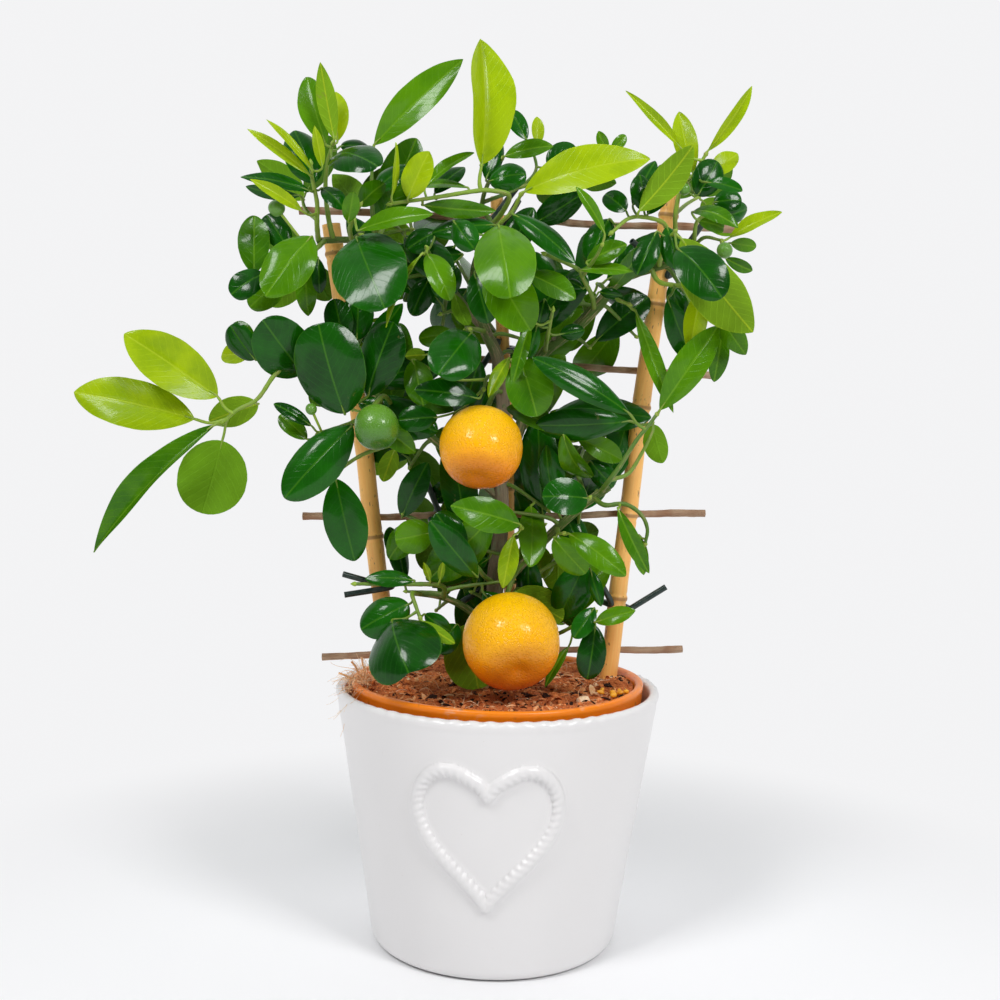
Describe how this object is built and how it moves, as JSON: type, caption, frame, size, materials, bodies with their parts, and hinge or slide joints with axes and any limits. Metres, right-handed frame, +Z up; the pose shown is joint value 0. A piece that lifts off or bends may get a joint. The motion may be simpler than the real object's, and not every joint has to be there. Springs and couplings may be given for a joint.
{
  "type": "potted mandarin tree",
  "caption": "Mandarin tree trained on a bamboo cane trellis, with ripe and green fruit, in a nursery pot inside a tapered white ceramic pot with a raised rope heart.",
  "frame": {"origin": "middle of the ceramic pot's foot, on the surface that it stands on", "axes": "+Z up, -Y the front, where the rope heart is, +X to the right seen from the front"},
  "size_m": [0.428, 0.211, 0.573],
  "materials": {
    "white_glaze": "satin white glaze over earthenware",
    "orange_plastic": "satin moulded polypropylene",
    "coir_and_bark": "moist coir and bark chips",
    "granules": "resin-coated fertiliser",
    "bamboo": "dry tan bamboo, satin skin",
    "split_stick": "rough split wood",
    "tie_plastic": "soft hollow dark green plastic",
    "bark": "ridged grey-brown bark with green stripes",
    "ripe_peel": "waxy dimpled orange peel",
    "green_peel": "waxy dimpled green peel",
    "old_leaf": "glossy dark green leaf",
    "grown_leaf": "glossy mid green leaf",
    "young_leaf": "soft yellow-green young leaf"
  },
  "bodies": {
    "root": {"cane_left": "bamboo", "cane_middle": "bamboo", "cane_right": "bamboo", "ceramic_pot": "white_glaze", "cross_stick_1": "split_stick", "cross_stick_2": "split_stick", "cross_stick_3": "split_stick", "cross_stick_4": "split_stick", "fertiliser_granules": "granules", "growing_medium": "coir_and_bark", "mandarin_green": "green_peel", "mandarin_lower": "ripe_peel", "mandarin_upper": "ripe_peel", "nursery_pot": "orange_plastic", "shoot_above_mandarin": "grown_leaf", "shoot_beside_fruit": "young_leaf", "shoot_big_round": "old_leaf", "shoot_big_upright": "grown_leaf", "shoot_bright_big": "young_leaf", "shoot_centre": "grown_leaf", "shoot_centre_left": "young_leaf", "shoot_centre_low": "old_leaf", "shoot_centre_right": "grown_leaf", "shoot_left_dark": "old_leaf", "shoot_left_low": "old_leaf", "shoot_left_lower": "old_leaf", "shoot_left_middle": "old_leaf", "shoot_left_outer": "old_leaf", "shoot_left_spray": "young_leaf", "shoot_left_upper": "grown_leaf", "shoot_long_stem": "young_leaf", "shoot_low_left": "old_leaf", "shoot_low_left_flat": "old_leaf", "shoot_low_right": "grown_leaf", "shoot_low_right_up": "old_leaf", "shoot_lower_right_arc": "grown_leaf", "shoot_lower_right_bright": "old_leaf", "shoot_lower_right_curl": "grown_leaf", "shoot_lower_right_tall": "grown_leaf", "shoot_lower_right_under": "grown_leaf", "shoot_right_arch": "grown_leaf", "shoot_right_big": "young_leaf", "shoot_right_front": "grown_leaf", "shoot_right_hanging": "young_leaf", "shoot_right_inner": "young_leaf", "shoot_right_narrow": "grown_leaf", "shoot_right_top": "grown_leaf", "shoot_top_left": "young_leaf", "shoot_top_left_low": "grown_leaf", "shoot_top_left_tall": "young_leaf", "shoot_top_middle": "old_leaf", "shoot_under_mandarin": "grown_leaf", "tie_centre": "tie_plastic", "tie_lower_centre": "tie_plastic", "tie_lower_left": "tie_plastic", "tie_lower_right": "tie_plastic", "tie_near_trunk": "tie_plastic", "tie_top_middle": "tie_plastic", "tie_top_right": "tie_plastic", "trunk_and_branches": "bark"}
  },
  "joints": []
}
